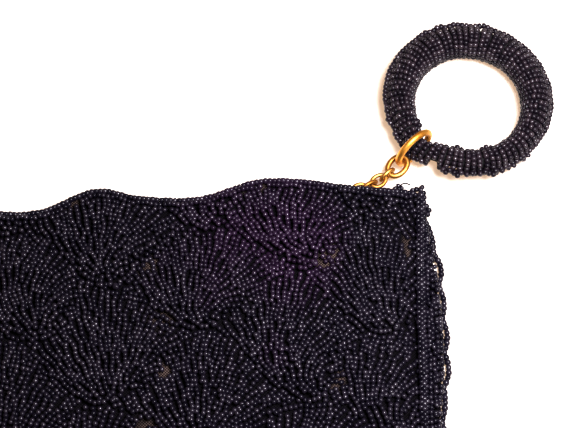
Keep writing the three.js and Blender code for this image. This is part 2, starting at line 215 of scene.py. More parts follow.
class Value:
    """A value in a material's nodes. Arithmetic on it adds the nodes that work it out."""

    def __init__(self, tree, socket=None):
        self.tree = tree
        self.socket = socket

    def node(self, kind, settings, sockets, output=0):
        added = self.tree.nodes.new(kind)
        for name, setting in settings.items():
            if name == "stops":
                for stop, (position, shade) in zip(added.color_ramp.elements, setting):
                    stop.position = position
                    stop.color = shade
            else:
                setattr(added, name, setting)
        for name, given in sockets.items():
            if isinstance(given, Value):
                self.tree.links.new(given.socket, added.inputs[name])
            else:
                added.inputs[name].default_value = given
        return Value(self.tree, added.outputs[output] if len(added.outputs) else None)

    def maths(self, operation, first, second=0.0):
        return self.node("ShaderNodeMath", {"operation": operation}, {0: first, 1: second})

    def __add__(self, other):
        return self.maths("ADD", self, other)

    def __sub__(self, other):
        return self.maths("SUBTRACT", self, other)

    def __rsub__(self, other):
        return self.maths("SUBTRACT", other, self)

    def __mul__(self, other):
        return self.maths("MULTIPLY", self, other)

    __radd__ = __add__
    __rmul__ = __mul__

    def sine(self):
        return self.maths("SINE", self)

    def limited(self, low, high):
        return self.maths("MINIMUM", self.maths("MAXIMUM", self, low), high)

    def mix(self, first, second):
        """The first colour where this value is 0 and the second where it is 1."""
        settings = {"data_type": "RGBA"}
        return self.node("ShaderNodeMix", settings, {0: self, 6: first, 7: second}, 2)

    def bump(self, strength, depth):
        """The surface's direction where this value is its relief."""
        sockets = {"Height": self, "Strength": strength, "Distance": depth}
        return self.node("ShaderNodeBump", {}, sockets)

    def axes(self):
        """The three parts of a place."""
        split = self.node("ShaderNodeSeparateXYZ", {}, {"Vector": self})
        return [Value(self.tree, part) for part in split.socket.node.outputs]

    def noise(self, scale, detail):
        """Cloudy unevenness over places."""
        sockets = {"Vector": self, "Scale": scale, "Detail": detail}
        return self.node("ShaderNodeTexNoise", {}, sockets)

    def distance(self, point):
        """How far a place lies from a point, in metres."""
        settings = {"operation": "DISTANCE"}
        return self.node("ShaderNodeVectorMath", settings, {0: self, 1: point}, 1)

    def attribute(self, name):
        """A number that the mesh carries at its corners."""
        return self.node("ShaderNodeAttribute", {"attribute_name": name}, {}, "Fac")


def new_material(name):
    """An empty material, and the place of each point in its piece's own frame."""
    material = bpy.data.materials.new(name)
    material.use_nodes = True
    material.node_tree.nodes.clear()
    place = Value(material.node_tree).node("ShaderNodeTexCoord", {}, {}, "Object")
    return material, place


def finish_material(material, **sockets):
    """Ends a material in one Principled shader with these socket values or links."""
    named = {name.replace("_", " "): given for name, given in sockets.items()}
    shader = Value(material.node_tree).node("ShaderNodeBsdfPrincipled", {}, named)
    shader.node("ShaderNodeOutputMaterial", {}, {"Surface": shader})
    return material


def woven_cloth(name, dark, light, worn):
    """Plain weave: threads pass over and under each other. Nearly black as painted shade where beads cover
    the cloth, and its own paler colour where it lies bare.
    """
    material, place = new_material(name)
    bare = place.attribute("bare")
    x, y, _ = place.axes()
    turns = 2 * math.pi / (YARN_PITCH * MM)
    over = (x * turns).sine() * (y * turns).sine() * 0.5 + 0.5
    slub = place.noise(420, 3)
    dust = place.noise(60, 2)
    shade = (over * 1.5 + slub * 0.6 - 0.7).limited(0, 1)
    # Painted shade: away from the bare spots the cloth takes the nearly black colour given as light.
    return finish_material(
        material,
        Base_Color=shade.mix((*dark, 1), bare.mix((*light, 1), (*worn, 1))),
        Roughness=0.78 + dust * 0.2,
        Normal=(over + slub * 0.5).bump(0.7, YARN_RELIEF),
        Specular_IOR_Level=0.05,
    )


black_cloth = woven_cloth("black_cloth", **BLACK_YARN)


def dress(piece, material, node):
    """Gives a piece its material in a slot, hangs it on the root body, and hides the solid that it stands
    for.
    """
    piece.data.materials.append(material)
    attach(piece, "root")
    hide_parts(node)


front_x, front_y = panel_grid("front")
front_top = front_height(front_x, front_y) - BEAD_LAYER
front_cloth = sheet_solid("front_cloth", front_x, front_y, front_top - CLOTH, front_top)
dress(front_cloth, black_cloth, "front_panel")


# Back cloth
# The lower wall is the same cloth, cut a little wider than the front so that its border carries the
# braid. It lies flat on its beads.
back_x, back_y = panel_grid("back")
back_low = np.full_like(back_x, BEAD_LAYER)
back_cloth = sheet_solid("back_cloth", back_x, back_y, back_low, back_low + CLOTH)
dress(back_cloth, black_cloth, "back_panel")


# Front beadwork
# Rows of jet-black glass seed beads are strung on thread and couched to the cloth in fans, set in a
# half-drop repeat. Each fan spreads from its foot, and its rows curl on their way out.
FAN_WIDTH = 64
FAN_DROP = 45
FAN_FOOT = (1.9, 40.7)
FAN_START = (-1, 8)  # from a fan's foot to its first row
FAN_BULGE = 2.4  # rounds the fans' feet and tops
FAN_FOCUS = (4.5, 2.0)  # from a fan's foot to the place where its rows meet
FAN_SPREAD = 1.9  # radians from straight up, the most that a row leans
FAN_SWIRL = 0.55  # radians that the rows turn clockwise on their way out
FAN_SWIRL_REACH = 14
FAN_SWIRL_CHANGE = 0.3  # the share by which the swirl differs from fan to fan
FAN_RELIEF = 1.2  # how far a fan's foot stands above the tips of the fans below it
FAN_DRIFT = 4.0  # how far the sewing strays from the drawn repeat, in wide waves
CLOSE_DRIFT = 0.4  # how strong the closer waves are beside the wide ones
DRIFT_ACROSS = [(21, 9.5, 2.6), (6.3, -8.7, 0.2)]  # a wide and a close wave: lengths in x and y, start
DRIFT_UP = [(12.5, -17, 2.7), (9.3, 6.1, 0.6)]


def strayed(waves, x, y):
    """How far the sewing strays at a place, in one wide wave and one close wave."""
    wide, close = (np.sin(x / across + y / up + start) for across, up, start in waves)
    return FAN_DRIFT * (wide + CLOSE_DRIFT * close)


def drawn_place(x, y):
    """Where a sewn place lies in the drawn repeat, which the sewing follows only roughly."""
    return x + strayed(DRIFT_ACROSS, x, y), y + strayed(DRIFT_UP, x, y)


def fan_steps(x, y):
    """A place as steps along the two sloping directions of the half-drop repeat."""
    x, y = drawn_place(x, y)
    u = (x - FAN_FOOT[0]) / (FAN_WIDTH / 2)
    v = (y - FAN_FOOT[1]) / (FAN_DROP / 2)
    arch = FAN_BULGE / FAN_DROP * np.sin(2 * np.pi * u)
    return (u + v) / 2 - arch, (v - u) / 2 + arch


def fan_of(x, y):
    """Which fan a place belongs to."""
    right, left = fan_steps(x, y)
    return math.floor(right), math.floor(left)


def fan_relief(x, y):
    """Each fan slopes from its raised foot down to its tips, which tuck under the next fans."""
    right, left = fan_steps(x, y)
    farther = np.maximum(right % 1, left % 1)
    return FAN_RELIEF * (0.6 - farther**1.5)


def fan_foot(fan):
    """Where a fan's foot lies in the drawn repeat."""
    across = FAN_FOOT[0] + (fan[0] - fan[1]) * FAN_WIDTH / 2
    return across, FAN_FOOT[1] + (fan[0] + fan[1]) * FAN_DROP / 2


def fan_way(x, y):
    """The way a row runs through a place, as an angle from straight up the bag."""
    fan = fan_of(x, y)
    foot_x, foot_y = fan_foot(fan)
    x, y = drawn_place(x, y)
    across = x - foot_x - FAN_FOCUS[0]
    up = y - foot_y - FAN_FOCUS[1]
    out = math.hypot(across, up) / FAN_SWIRL_REACH
    change = FAN_SWIRL_CHANGE * math.sin(12.9 * fan[0] + 7.8 * fan[1])
    swirl = FAN_SWIRL * (1 + change) * 2 * out / (1 + out * out)
    return max(-FAN_SPREAD, min(FAN_SPREAD, math.atan2(across, up) + swirl))


SPOT_FANS = range(-5, 4)
SPOT_ACROSS = (5, 22)  # from a fan's foot along its lower edge
SPOT_BELOW = (1.5, 3.5)
SPOT_HEIGHT = (1.5, 2.8)
SPOT_LENGTH = 1.7  # of its height
SPOT_TURN = (0.3, 0.9)
SPOT_FADE = 1.7  # sizes of a spot from its middle to where the cloth no longer looks worn
SPOTS_WITHIN = 95  # of the bag's middle, to either side
SEAM_SPOT = (107.2, 52, 4, 0.7, 1.55)  # a long bare spot beside the right seam
SPARSE = 0.45  # the share of the beads left in a bare spot
rng = np.random.default_rng(11)


def spot_reach(spot, x, y):
    """How far places lie from the middle of an oval spot: 1 on its edge."""
    spot_x, spot_y, wide, high, turn = spot
    along = (x - spot_x) * math.cos(turn) + (y - spot_y) * math.sin(turn)
    across = (y - spot_y) * math.cos(turn) - (x - spot_x) * math.sin(turn)
    return np.hypot(along / wide, across / high)


def mark_bare(cloth, spots):
    """Marks the parts of a cloth that show between sparse beads, for its material."""
    corners = np.empty(len(cloth.data.vertices) * 3, np.float32)
    cloth.data.vertices.foreach_get("co", corners)
    x, y, _ = corners.reshape(-1, 3).T / MM
    reach = np.min([spot_reach(spot, x, y) for spot in spots], axis=0)
    bare = cloth.data.attributes.new("bare", "FLOAT", "POINT")
    bare.data.foreach_set("value", np.clip(SPOT_FADE - reach, 0, 1).astype(np.float32))


def bare_spots():
    """Small places just below the lower edges of the fans where beads are sparse and the cloth shows."""
    spots = []
    for i in SPOT_FANS:
        for j in SPOT_FANS:
            foot_x, foot_y = fan_foot((i, j))
            side = rng.choice([-1, 1])
            across = rng.uniform(*SPOT_ACROSS)
            arch = FAN_BULGE * math.sin(4 * math.pi * across / FAN_WIDTH)
            spot_x = foot_x + side * across
            spot_y = foot_y + across * FAN_DROP / FAN_WIDTH - arch - rng.uniform(*SPOT_BELOW)
            size = rng.uniform(*SPOT_HEIGHT)
            turn = side * rng.uniform(*SPOT_TURN)
            if abs(spot_x) < SPOTS_WITHIN:
                spots.append((spot_x, spot_y, size * SPOT_LENGTH, size, turn))
    return spots


ROW_SPACING = 2.1
ROW_STEP = 0.5
ROW_SLACK = 0.12  # how far beads slide along their thread
ROW_WAVER = 0.32  # how far a row strays to its sides
ROW_WAVER_TURN = 1.1  # radians of that waver from bead to bead
ROW_LIFT = 0.25  # how far a whole row lies above or below its neighbours
CLOSEST_ROWS = 0.6  # of the spacing, where rows run together
END_ROOM = 1.4  # how much nearer a row's end may come to a row across it than to one beside it
LONGEST_ROW = 90  # steps each way
SHORTEST_ROW = 4.5
SHORTEST_FILLER = 1.0
OVERLAP = (1, 10)  # steps that a row may run on into the next fan: at its foot, and at most at its tip
NEXT_ROW = 1.01  # of the spacing, from a row to those tried beside it
NEXT_ROW_EVERY = 3  # steps along a row
FIRST_ROOM = 0.94  # of the spacing, the room that a new row of a fan needs
FILLER_ROOM = 0.64  # the same for a row that fills what is left
BESIDE_FILLER_ROOM = 0.72
FILLER_REACH = (118, 80)
FILLER_STEP = 0.8
SEWN_FANS = range(4, -6, -1)  # steps along both directions of the repeat, from the mouth down
RASTER = 0.5
RASTER_REACH = (120, 84)
EDGE_ROOM = -0.4  # beads lie a little over the panel's edge


def sewn_area(side):
    """Tells of a place whether beads may go there, inside the panel's edge."""
    reach_x, reach_y = RASTER_REACH
    xs = np.arange(-reach_x, reach_x, RASTER)
    ys = np.arange(-reach_y, reach_y, RASTER)
    x, y = np.meshgrid(xs, ys, indexing="ij")
    width = half_width[side](y)
    area = np.abs(x) < width - EDGE_ROOM
    area &= y < panel_top(x) - EDGE_ROOM
    area &= y > panel_bottom(side, np.clip(x / width, -1, 1)) + EDGE_ROOM

    def inside(px, py):
        i = int((px + reach_x) / RASTER)
        j = int((py + reach_y) / RASTER)
        return 0 <= i < area.shape[0] and 0 <= j < area.shape[1] and area[i, j]

    return inside


def sew_rows(inside, first_rows):
    """Rows that follow the fans and keep their distance from one another, as lists of places."""
    cells = {}
    rows = []
    seeds = deque()

    def crowded(x, y, angle, least):
        ahead_x, ahead_y = math.sin(angle), math.cos(angle)
        i, j = int(x // ROW_SPACING), int(y // ROW_SPACING)
        for a in (i - 1, i, i + 1):
            for b in (j - 1, j, j + 1):
                for px, py in cells.get((a, b), ()):
                    along = (px - x) * ahead_x + (py - y) * ahead_y
                    beside = (px - x) * ahead_y - (py - y) * ahead_x
                    if beside * beside + (along * END_ROOM) ** 2 < least * least:
                        return True
        return False

    def keep(row):
        rows.append(np.array(row))
        for x, y in row:
            cells.setdefault((int(x // ROW_SPACING), int(y // ROW_SPACING)), []).append((x, y))

    def follow(x, y, sign, fan):
        run = []
        beyond = 0
        most = rng.integers(0, OVERLAP[1]) if sign > 0 else OVERLAP[0]
        angle = fan_way(x, y)
        while len(run) < LONGEST_ROW and beyond <= most:
            x += sign * ROW_STEP * math.sin(angle)
            y += sign * ROW_STEP * math.cos(angle)
            if not inside(x, y) or crowded(x, y, angle, ROW_SPACING * CLOSEST_ROWS):
                break
            run.append((x, y))
            if fan_of(x, y) == fan:
                angle = fan_way(x, y)
            else:
                beyond += 1
        return run

    def try_seed(x, y, room, shortest):
        if not inside(x, y) or crowded(x, y, fan_way(x, y), ROW_SPACING * room):
            return
        fan = fan_of(x, y)
        row = follow(x, y, -1, fan)[::-1] + [(x, y)] + follow(x, y, 1, fan)
        if len(row) * ROW_STEP < shortest:
            return
        keep(row)
        for x, y in row[::NEXT_ROW_EVERY]:
            angle = fan_way(x, y)
            for side in (-1, 1):
                off = side * ROW_SPACING * NEXT_ROW
                seeds.append((x + off * math.cos(angle), y - off * math.sin(angle)))

    for row in first_rows:
        keep(row)
    for i in SEWN_FANS:
        for j in SEWN_FANS:
            foot_x, foot_y = fan_foot((i, j))
            seeds.append((foot_x + FAN_START[0], foot_y + FAN_START[1]))
            while seeds:
                try_seed(*seeds.popleft(), FIRST_ROOM, SHORTEST_ROW)
    filler_x, filler_y = (np.arange(-reach, reach, FILLER_STEP) for reach in FILLER_REACH)
    fillers = [(x, y) for x in filler_x for y in filler_y]
    for shortest in (SHORTEST_ROW, SHORTEST_FILLER):
        for k in rng.permutation(len(fillers)):
            try_seed(*fillers[k], FILLER_ROOM, shortest)
            while seeds:
                try_seed(*seeds.popleft(), BESIDE_FILLER_ROOM, shortest)
    return rows


BEAD_WIDTH = 2.1
BEAD_LENGTH = 1.54
BEAD_PITCH = 1.6
BEAD_TILT = 0.14
BEAD_WIDTHS = (0.84, 1.07)  # the least and the most, as shares
BEAD_LENGTHS = (0.9, 1.08)
BEAD_STRAY = 0.15  # how far single beads lie from their row
FRONT_SIDES = 7  # corners round a bead
PLAIN_BEAD = [(-0.5, 0.37), (0.0, 0.5), (0.5, 0.37)]  # half widths along a bead of unit size
ROUND_BEAD = [(-0.5, 0.38), (-0.2, 0.49), (0.2, 0.49), (0.5, 0.38)]
MAP_SLEEVE = 0.72  # the part of a bead's flat map that its side takes, below its two ends
MAP_ENDS = (0.2, 0.7)  # where the ends lie across the map
MAP_END_HIGH = 0.87
MAP_END_RADIUS = 0.1
MAP_MARGIN = 0.06


def walk(points, pitch, slack=0.0):
    """Even places along a line of points, with the way that the line runs at each."""
    points = np.asarray(points, float)
    lengths = np.r_[0, np.cumsum(np.linalg.norm(np.diff(points, axis=0), axis=1))]
    count = max(1, int(lengths[-1] / pitch))
    at = (np.arange(count) + 0.5) * lengths[-1] / count
    at = at + rng.uniform(-slack, slack, count)
    place, ahead, behind = (
        np.stack([np.interp(at + shift, lengths, axis) for axis in points.T], 1)
        for shift in (0, pitch / 3, -pitch / 3)
    )
    way = ahead - behind
    return place, way / np.maximum(np.linalg.norm(way, axis=1, keepdims=True), 1e-9)


def full_turn(steps):
    """Even angles once round a circle."""
    return 2 * np.pi * np.arange(steps) / steps


def bead_pattern(sides, stations):
    """One bead of unit width and length: its corners, its faces and where they lie on a flat map."""
    turns = full_turn(sides)
    corners = [(x, r * math.cos(t), r * math.sin(t)) for x, r in stations for t in turns]
    bands = len(stations) - 1
    faces = []
    flat = []
    for band in range(bands):
        low, high = MAP_SLEEVE * band / bands, MAP_SLEEVE * (band + 1) / bands
        for k in range(sides):
            a = band * sides + k
            b = band * sides + (k + 1) % sides
            faces.append([a, b, b + sides, a + sides])
            left, right = k / sides, (k + 1) / sides
            flat += [(left, low), (right, low), (right, high), (left, high)]
    for start, middle, order in zip((0, bands * sides), MAP_ENDS, (-1, 1)):
        ring = list(range(sides))[::order]
        faces.append([start + k for k in ring])
        end_x = middle + MAP_END_RADIUS * np.cos(turns[ring])
        end_y = MAP_END_HIGH + MAP_END_RADIUS * np.sin(turns[ring])
        flat += list(zip(end_x, end_y))
    return np.array(corners), faces, np.array(flat)


def bead_piece(name, places, ways, ups, sides, width=BEAD_WIDTH, length=BEAD_LENGTH, form=PLAIN_BEAD):
    """Many beads joined in one mesh, each a little different in size, tilt and tone."""
    count = len(places)
    ways = ways + rng.normal(0, BEAD_TILT, (count, 3))
    ways /= np.linalg.norm(ways, axis=1, keepdims=True)
    sideways = np.cross(ups, ways)
    sideways /= np.maximum(np.linalg.norm(sideways, axis=1, keepdims=True), 1e-9)
    ups = np.cross(ways, sideways)
    widths = width * rng.uniform(*BEAD_WIDTHS, (count, 1, 1))
    lengths = length * rng.uniform(*BEAD_LENGTHS, (count, 1, 1))
    corners, faces, flat = bead_pattern(sides, form)
    spread = corners[None, :, 0:1] * lengths * ways[:, None, :]
    spread = spread + corners[None, :, 1:2] * widths * sideways[:, None, :]
    spread = spread + corners[None, :, 2:3] * widths * ups[:, None, :]
    points = (places[:, None, :] + spread).reshape(-1, 3) * MM
    loops = np.concatenate(faces)
    sizes = np.array([len(face) for face in faces])
    offsets = np.arange(count)[:, None] * len(corners)
    starts = np.r_[0, np.cumsum(sizes)[:-1]] + np.arange(count)[:, None] * len(loops)
    mesh = bpy.data.meshes.new(name)
    mesh.vertices.add(len(points))
    mesh.vertices.foreach_set("co", points.astype(np.float32).ravel())
    mesh.loops.add(count * len(loops))
    mesh.loops.foreach_set("vertex_index", (loops + offsets).ravel().astype(np.int32))
    mesh.polygons.add(count * len(sizes))
    mesh.polygons.foreach_set("loop_start", starts.ravel().astype(np.int32))
    mesh.polygons.foreach_set("use_smooth", np.ones(count * len(sizes), bool))
    tone = mesh.attributes.new("tone", "FLOAT", "POINT")
    tone.data.foreach_set("value", np.repeat(rng.random(count), len(corners)).astype(np.float32))
    across = math.ceil(math.sqrt(count))
    cell = np.stack([np.arange(count) % across, np.arange(count) // across], 1)
    spots = (cell[:, None, :] + MAP_MARGIN + (1 - 2 * MAP_MARGIN) * flat[None]) / across
    mesh.uv_layers.new(name="OFBake").data.foreach_set("uv", spots.astype(np.float32).ravel())
    mesh.update(calc_edges=True)
    mesh.validate()
    piece = bpy.data.objects.new(name, mesh)
    bpy.context.collection.objects.link(piece)
    return piece


PURPLE_ZONE = (0.062, 0.058, 0.012)  # where one lot of the beads is more purple than the rest


def jet_glass(name, lightness, warmth, dullness, shine):
    """Opaque black glass: purple or blue in the light, bead by bead, with a dull one here and there."""
    material, place = new_material(name)

    # lightness and warmth give lighter, warmer copies of the glass, as painted light on beads nearer the
    # lamp.
    def tint(red, green, blue):
        return red * lightness * warmth, green * lightness, blue * lightness / warmth, 1

    tone = place.attribute("tone")
    purple = (place.noise(30, 3) * 3.0 - place.distance(PURPLE_ZONE) * 38).limited(0, 1)
    deep = purple.mix(tint(0.0042, 0.0033, 0.0077), tint(0.0108, 0.0045, 0.0138))
    pale = purple.mix(tint(0.0140, 0.0104, 0.0188), tint(0.0234, 0.0108, 0.0290))
    return finish_material(
        material,
        Base_Color=tone.mix(deep, pale),
        Roughness=dullness + tone * 0.2,
        Specular_IOR_Level=0.17 * shine,
        Coat_Weight=tone * tone * tone * 0.75 * shine,
        Coat_Roughness=0.2,
    )


jet = jet_glass("jet_glass", lightness=1.0, warmth=1.0, dullness=0.2, shine=1.0)


def lay_on(rows, height, facing, spots):
    """Beads along rows, lying on a surface: their places, ways and outward directions."""
    laid = []
    step = 0.4
    for row in rows:
        flat, way = walk(row, BEAD_PITCH, ROW_SLACK)
        reach = np.min([spot_reach(spot, *flat.T) for spot in spots], axis=0)
        left = (reach > 1) | (rng.random(len(flat)) < SPARSE)
        waver = ROW_WAVER * np.sin(np.arange(len(flat)) * ROW_WAVER_TURN + rng.uniform(0, 6))
        waver = waver + rng.normal(0, BEAD_STRAY, len(flat))
        flat = flat + np.stack([way[:, 1], -way[:, 0]], 1) * waver[:, None]
        flat, way = flat[left], way[left]
        x, y = flat.T
        lift = (rng.uniform(-ROW_LIFT, ROW_LIFT) + fan_relief(x, y))[:, None]
        slope_x = (height(x + step, y) - height(x - step, y)) / (2 * step)
        slope_y = (height(x, y + step) - height(x, y - step)) / (2 * step)
        up = np.stack([-slope_x, -slope_y, np.ones_like(x)], 1)
        up /= np.linalg.norm(up, axis=1, keepdims=True)
        along = np.stack([way[:, 0], way[:, 1], way[:, 0] * slope_x + way[:, 1] * slope_y], 1)
        middle = np.stack([x, y, height(x, y)], 1) + up * facing * (lift - BEAD_WIDTH / 2)
        laid.append((middle, along, up * facing))
    return [np.vstack(parts) for parts in zip(*laid)]


def split_beads(name, node, laid, splits, sides):
    """The beads sewn on one panel, in a few pieces from left to right."""
    places = laid[0]
    for part, (start, stop) in enumerate(zip(splits, splits[1:]), 1):
        mine = (places[:, 0] >= start) & (places[:, 0] < stop)
        beads = bead_piece(f"{name}_{part}", *(lines[mine] for lines in laid), sides)
        dress(beads, jet, node)


MOUTH_ROW = 0.3  # below the panel's scalloped edge
MOUTH_ROW_REACH = 111
FRONT_SPLITS = [-200, -38, 33, 200]  # across the bag, where the beads are split in pieces

mouth_x = np.arange(-MOUTH_ROW_REACH, MOUTH_ROW_REACH + ROW_STEP / 2, ROW_STEP)
mouth_row = list(zip(mouth_x, panel_top(mouth_x) - MOUTH_ROW))
front_spots = bare_spots() + [SEAM_SPOT]
mark_bare(front_cloth, front_spots)
front_rows = sew_rows(sewn_area("front"), [mouth_row])
front_laid = lay_on(front_rows, front_height, 1, front_spots)
split_beads("front_beads", "front_panel", front_laid, FRONT_SPLITS, FRONT_SIDES)


# Back beadwork
# The back is sewn with the same fans of jet beads, which the clutch lies on. They hang under the
# cloth, and none reaches below the surface.
BACK_REST = 0.52  # of a bead's width, the least height of its middle
BACK_SPLITS = [-200, 0, 200]
BACK_SIDES = 5


def back_height(x, y):
    """The back's beads all reach down to the surface."""
    return np.zeros_like(x)


back_spots = bare_spots()
mark_bare(back_cloth, back_spots)
back_rows = sew_rows(sewn_area("back"), [])
back_laid = lay_on(back_rows, back_height, -1, back_spots)
back_laid[0][:, 2] = np.maximum(back_laid[0][:, 2], BEAD_WIDTH * BACK_REST)
split_beads("back_beads", "back_panel", back_laid, BACK_SPLITS, BACK_SIDES)


# Edge cord
# A cord covers the front panel's side and bottom edges. It is overcast with slanting stitches of three
# beads each, which go from its inner side over the top, and its ends are turned over at the mouth.
CORD = 3.6
CORD_TOP = 72.9
CORD_BEAD = 2.25
CORD_BEAD_LENGTH = 1.5
CORD_PITCH = 1.85  # from stitch to stitch
CORD_SLANT = -1.1  # how far along the seam each bead of a stitch lies from the one before
CORD_ROUND = np.radians([155, 88, 20])  # where a stitch's beads lie, round from the outer side
CORD_SLACK = 0.5  # the most that a stitch stands off the cord
CORD_HOOK = 1.0  # the radius in which its ends are turned over
HOOK_STEPS = 16
CORD_LOOP = [(115.7, 67.4), (116.4, 65.8), (115.8, 64.2)]  # beads of a loose stitch near its right end
CORD_LOOP_DROP = 0.6  # below the cord's middle
SEAM_STEPS = (160, 40, 200)  # points along a side, a corner and the bottom
STRING_SIDES = 8
UP = np.array([[0.0, 0.0, 1.0]])


def seam_line(side, offset, top):
    """Points along a panel's edge, from the right of the mouth round the bottom to the left."""
    radius = CORNER[side]
    corner_y = BOTTOM[side] + radius
    corner_x = float(half_width[side](corner_y)) - radius
    y = np.linspace(top, corner_y, SEAM_STEPS[0])[:-1]
    right = np.stack([half_width[side](y) + offset, y], 1)
    turn = np.linspace(0, -np.pi / 2, SEAM_STEPS[1])
    bend = np.stack([np.cos(turn), np.sin(turn)], 1) * (radius + offset) + (corner_x, corner_y)
    x = np.linspace(corner_x, -corner_x, SEAM_STEPS[2])[1:-1]
    bottom = np.stack([x, np.full_like(x, BOTTOM[side] - offset)], 1)
    half = np.vstack([right, bend])
    left = half[::-1] * (-1, 1)
    return np.vstack([half, bottom, left])


def flat_frame(line, pitch):
    """Even places along a flat line, with its way and its outward side at each."""
    place, way = walk(line, pitch)
    return place, way, np.stack([-way[:, 1], way[:, 0]], 1)


def overcast(line, height):
    """Slanting stitches over a cord along a line: the beads' places, ways and outward directions."""
    place, way, side = flat_frame(line, CORD_PITCH)
    count = len(place)
    middle = np.column_stack([place, np.full(count, height)])
    ahead = np.column_stack([way, np.zeros(count)])
    outward = np.column_stack([side, np.zeros(count)])
    reach = (CORD - CORD_BEAD) / 2
    loose = rng.uniform(0, CORD_SLACK, (count, 1))
    stitches = []
    for step, angle in enumerate(CORD_ROUND):
        out = outward * math.cos(angle) + UP * math.sin(angle)
        round_way = outward * math.sin(angle) - UP * math.cos(angle)
        along = ahead * CORD_SLANT * (step - 1)
        run = ahead * CORD_SLANT - round_way
        run /= np.linalg.norm(run, axis=1, keepdims=True)
        stitches.append((middle + out * (reach + loose) + along, run, out))
    return [np.vstack(parts) for parts in zip(*stitches)]


def string_beads(name, node, places, ways, ups, width, length, form=ROUND_BEAD, glass=jet):
    """The beads of a string that stands free, rounder than those sewn on the panels."""
    beads = bead_piece(name, places, ways, ups, STRING_SIDES, width, length, form)
    dress(beads, glass, node)


cord_line = seam_line("front", GAP + CORD / 2, CORD_TOP)
hook_turn = np.linspace(np.pi, 0, HOOK_STEPS)[:-1]
hook = cord_line[0] - (CORD_HOOK, 0) + CORD_HOOK * np.stack([np.cos(hook_turn), np.sin(hook_turn)], 1)
cord_line = np.vstack([hook, cord_line, hook[::-1] * (-1, 1)])
cord_height = WALL + GAP + CORD / 2
cord_places, cord_ways, cord_ups = overcast(cord_line, cord_height)
loose_places = [(x, y, cord_height - CORD_LOOP_DROP) for x, y in CORD_LOOP]
cord_places = np.vstack([cord_places, loose_places])
cord_ways = np.vstack([cord_ways, np.gradient(loose_places, axis=0)])
cord_ups = np.vstack([cord_ups, np.repeat(UP, len(CORD_LOOP), axis=0)])
string_beads("edge_cord_beads", "edge_cord", cord_places, cord_ways, cord_ups, CORD_BEAD, CORD_BEAD_LENGTH)


# Seam braid
# Slanting rows of beads fill the back panel's border outside the cord. Each row is a short string
# stitched down at both ends, so the rows stand up in the middle.
BRAID_TOP = 59
BRAID_BEAD = 2.25
BRAID_BEAD_PITCH = 1.52
BRAID_PITCH = 1.9
BRAID_RISE = 1.1
BRAID_RISES = (0.2, 1)  # the least and the most of that rise
BRAID_SLANT = -3.4  # how far along the seam a row's outer end lies from its inner end
BRAID_SLANTS = (0.6, 1.3)
BRAID_STRAY = 0.2
BRAID_OVERHANG = 0.5  # how far the rows reach out over the back panel's edge


def along_line(line, share):
    """The place at a share of the way through a line's points."""
    shares = np.linspace(0, 1, len(line))
    return np.array([np.interp(share, shares, axis) for axis in line.T])


def braid_rows():
    """The braid's rows from the cord out to the back panel's edge: the beads' places and ways."""
    inside = seam_line("front", CORD + GAP, BRAID_TOP)
    outside = seam_line("back", BRAID_OVERHANG, BRAID_TOP)
    near, _ = walk(inside, BRAID_PITCH)
    total = len(near) * BRAID_PITCH
    places, ways = [], []
    for at in np.linspace(0, 1, len(near)):
        slant = BRAID_SLANT * rng.uniform(*BRAID_SLANTS) / total
        start = along_line(inside, at)
        run = along_line(outside, at + slant) - start
        rise = rng.uniform(*BRAID_RISES) * BRAID_RISE
        count = max(1, round(float(np.linalg.norm(run)) / BRAID_BEAD_PITCH))
        for share in (np.arange(count) + 0.5) / count:
            middle = start + run * share + rng.normal(0, BRAID_STRAY, 2)
            height = WALL + GAP + BRAID_BEAD / 2 + rise * math.sin(math.pi * share)
            places.append([*middle, height])
            ways.append([*run, rise * math.cos(math.pi * share) * 2])
    ways = np.array(ways)
    return np.array(places), ways / np.linalg.norm(ways, axis=1, keepdims=True)


string_beads("seam_braid_beads", "seam_braid", *braid_rows(), UP, BRAID_BEAD, BEAD_LENGTH, PLAIN_BEAD)


# Picot edge
# A loose string of beads runs round the back panel's edge in small loops, caught down between them,
# so that slits of light show inside the loops.
STRAND = 2.1
PICOT_BEAD = 2.4
PICOT_BEAD_PITCH = 1.9
PICOT_BEAD_LENGTH = 1.824
PICOT_TOP = 63
PICOT_PITCH = 13
PICOT_STEP = 0.5
PICOT_BULGES = [0.8, 1.7, 1.2, 1.4, 1.6, 0.8, 1.2]
PICOT_PULL = 0.4  # how far the thread draws the string in
PICOT_SLACK = 0.04
PICOT_HEIGHTS = (-0.1, 0.3)  # how far beads lie under and over the string's height

picot_edge_line = seam_line("back", GAP + STRAND / 2 - PICOT_PULL, PICOT_TOP)
picot_place, _, picot_side = flat_frame(picot_edge_line, PICOT_STEP)
picot_loops = round(len(picot_place) * PICOT_STEP / PICOT_PITCH)
picot_turn = np.linspace(0, picot_loops, len(picot_place))
picot_bulge = np.array(PICOT_BULGES)[picot_turn.astype(int) % len(PICOT_BULGES)]
picot_out = picot_bulge * np.abs(np.sin(np.pi * picot_turn))
picot_line = picot_place + picot_side * picot_out[:, None]
picot_spots, picot_ways = walk(picot_line, PICOT_BEAD_PITCH, PICOT_SLACK)
picot_heights = PICOT_BEAD / 2 + GAP + rng.uniform(*PICOT_HEIGHTS, len(picot_spots))
picot_places = np.column_stack([picot_spots, picot_heights])
picot_ways = np.column_stack([picot_ways, np.zeros(len(picot_ways))])
string_beads(
    "picot_edge_beads", "picot_edge", picot_places, picot_ways, UP, PICOT_BEAD, PICOT_BEAD_LENGTH
)


